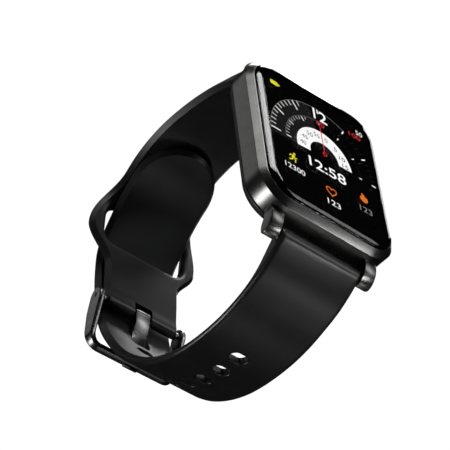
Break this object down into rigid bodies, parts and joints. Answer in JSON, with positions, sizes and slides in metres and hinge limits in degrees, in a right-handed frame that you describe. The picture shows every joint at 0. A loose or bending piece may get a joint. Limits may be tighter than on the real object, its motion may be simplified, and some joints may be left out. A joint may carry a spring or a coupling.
{
  "type": "smartwatch",
  "caption": "Square smartwatch on a closed silicone strap with a pin buckle, built-in keeper loop, side button and quick-release spring bars.",
  "frame": {"origin": "centre of the flat outer face of the sensor window on the case back, the face that lies on the wrist", "axes": "+Z out of the screen, +Y towards 12 o'clock, +X towards the side button at 3 o'clock"},
  "size_m": [0.0376, 0.069, 0.065],
  "materials": {
    "case_metal": "bead-blasted gunmetal",
    "buckle_metal": "brushed gunmetal",
    "steel": "satin",
    "front_glass": "polished",
    "sensor_glass": "polished",
    "display": "glossy black",
    "back_plastic": "fine matt",
    "silicone": "satin black",
    "seal_rubber": "matt",
    "board": "solder mask",
    "battery_foil": "satin foil",
    "contact_gold": "plated"
  },
  "bodies": {
    "case": {"case_frame": "case_metal", "front_glass": "front_glass", "display_gasket": "seal_rubber", "display_panel": "display", "back_cover": "back_plastic", "back_gasket": "seal_rubber", "sensor_window": "sensor_glass", "sensor_board": "board", "charging_contact_1": "contact_gold", "charging_contact_2": "contact_gold", "back_screw_1": "steel", "back_screw_2": "steel", "back_screw_3": "steel", "back_screw_4": "steel", "main_board": "board", "battery": "battery_foil", "speaker": "back_plastic", "microphone": "steel", "motor_can": "steel", "motor_base": "steel", "button_seal": "seal_rubber", "button_switch": "steel"},
    "button": {"side_button": "case_metal"},
    "rotor": {"motor_rotor": "contact_gold"},
    "strap_6": {"long_strap_upper": "silicone", "spring_bar_6": "steel"},
    "release_6": {"quick_release_6": "steel"},
    "band": {"long_strap_lower": "silicone", "short_strap_lower": "silicone", "buckle_bar": "steel"},
    "strap_12": {"short_strap_upper": "silicone", "spring_bar_12": "steel"},
    "release_12": {"quick_release_12": "steel"},
    "buckle": {"buckle_frame": "buckle_metal"},
    "buckle_tang": {"tang": "buckle_metal"}
  },
  "joints": [
    {"name": "button_press", "type": "slide", "parent": "case", "child": "button", "axis": [-1, 0, 0], "range_m": [0, 0.0004], "stiffness_N_per_m": 800},
    {"name": "motor_spin", "type": "hinge", "parent": "case", "child": "rotor", "pos_m": [-0.007, -0.011, 0.004], "axis": [0, 0, 1], "continuous": true},
    {"name": "strap_6_pivot", "type": "hinge", "parent": "case", "child": "strap_6", "pos_m": [0, -0.0246, 0.003], "axis": [1, 0, 0], "range_deg": [-8, 8], "stiffness_Nm_per_rad": 0.02},
    {"name": "long_strap_flex", "type": "hinge", "parent": "strap_6", "child": "band", "pos_m": [0, -0.03264, -0.01702], "axis": [1, 0, 0], "range_deg": [-6.5, 6.5], "stiffness_Nm_per_rad": 0.02},
    {"name": "short_strap_flex", "type": "hinge", "parent": "band", "child": "strap_12", "pos_m": [0, 0.03381, -0.01892], "axis": [1, 0, 0], "range_deg": [-6.5, 6.5], "stiffness_Nm_per_rad": 0.02},
    {"name": "release_6_slide", "type": "slide", "parent": "strap_6", "child": "release_6", "axis": [-1, 0, 0], "range_m": [0, 0.0011], "stiffness_N_per_m": 500},
    {"name": "release_12_slide", "type": "slide", "parent": "strap_12", "child": "release_12", "axis": [-1, 0, 0], "range_m": [0, 0.0011], "stiffness_N_per_m": 500},
    {"name": "buckle_hinge", "type": "hinge", "parent": "band", "child": "buckle", "pos_m": [0, -0.0002, -0.0499], "axis": [1, 0, 0], "range_deg": [-3, 3]},
    {"name": "tang_hinge", "type": "hinge", "parent": "band", "child": "buckle_tang", "pos_m": [0, -0.0002, -0.0499], "axis": [1, 0, 0], "range_deg": [-3.5, 3.5]}
  ],
  "couplings": [
    {"joint": "long_strap_flex", "follows": "strap_6_pivot", "ratio": -0.7494},
    {"joint": "short_strap_flex", "follows": "strap_6_pivot", "ratio": 0.6844},
    {"joint": "tang_hinge", "follows": "buckle_hinge", "ratio": 1}
  ]
}
